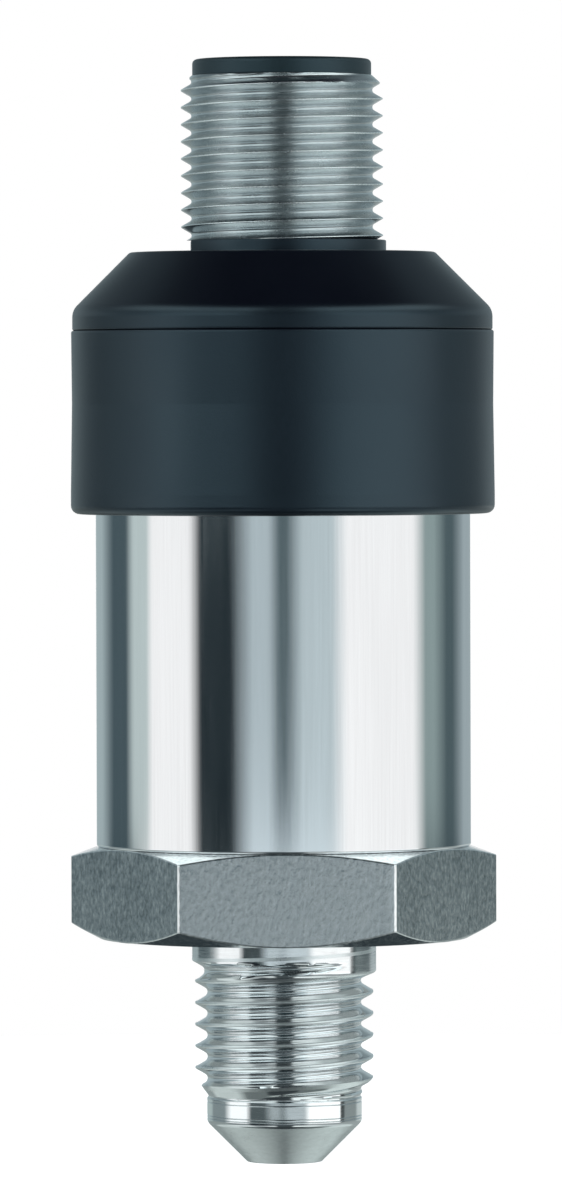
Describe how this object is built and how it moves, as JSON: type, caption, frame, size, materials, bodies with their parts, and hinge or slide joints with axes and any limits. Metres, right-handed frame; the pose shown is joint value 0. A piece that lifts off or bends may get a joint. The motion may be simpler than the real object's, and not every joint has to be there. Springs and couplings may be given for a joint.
{
  "type": "pressure transmitter",
  "caption": "Compact pressure transmitter: threaded nipple with flare cone and spanner hexagon below, steel tube case, moulded ring and cone, round threaded plug connector on top.",
  "frame": {"origin": "on the axis of the instrument, in the underside of the hexagon, where the threaded nipple begins", "axes": "+Z along the axis from the nipple to the connector, -Y out of one flat of the hexagon, which is the front; the connector's coding key is on the -X side"},
  "size_m": [0.025, 0.0248, 0.0647],
  "materials": {
    "connection_steel": "turned and satin, fine grain on the flats",
    "tube_steel": "polished, mirror-like with a faint drawn grain",
    "thread_steel": "rolled thread, satin",
    "cell_steel": "fine turned",
    "ring_plastic": "fine spark-eroded grain, charcoal black",
    "head_plastic": "fine spark-eroded grain, charcoal black",
    "contact_gold": "gold-plated, bright",
    "carrier_plastic": "moulded, plain",
    "board_green": "solder-stop lacquer",
    "flex_amber": "polyimide film",
    "ribbon_gold": "bare gold ribbon",
    "header_plastic": "moulded, plain",
    "post_tin": "tinned",
    "chip_resin": "moulded resin",
    "capacitor_ceramic": "fired ceramic with tinned ends",
    "resistor_ceramic": "glazed ceramic with tinned ends",
    "diode_resin": "moulded resin"
  },
  "bodies": {
    "root": {"process_connection": "connection_steel", "measuring_cell": "cell_steel", "case_tube": "tube_steel", "cover_ring": "ring_plastic", "connector_head": "head_plastic", "threaded_sleeve": "thread_steel", "contact_pin_1": "contact_gold", "contact_pin_2": "contact_gold", "contact_pin_3": "contact_gold", "contact_pin_4": "contact_gold", "board_carrier": "carrier_plastic", "contact_board": "board_green", "bond_ribbons": "ribbon_gold", "main_board": "board_green", "flex_link": "flex_amber", "connector_board": "board_green", "header_bodies": "header_plastic", "header_posts": "post_tin", "signal_chip": "chip_resin", "output_driver": "chip_resin", "voltage_regulator": "chip_resin", "filter_capacitors": "capacitor_ceramic", "chip_resistors": "resistor_ceramic", "suppressor_diodes": "diode_resin"}
  },
  "joints": []
}
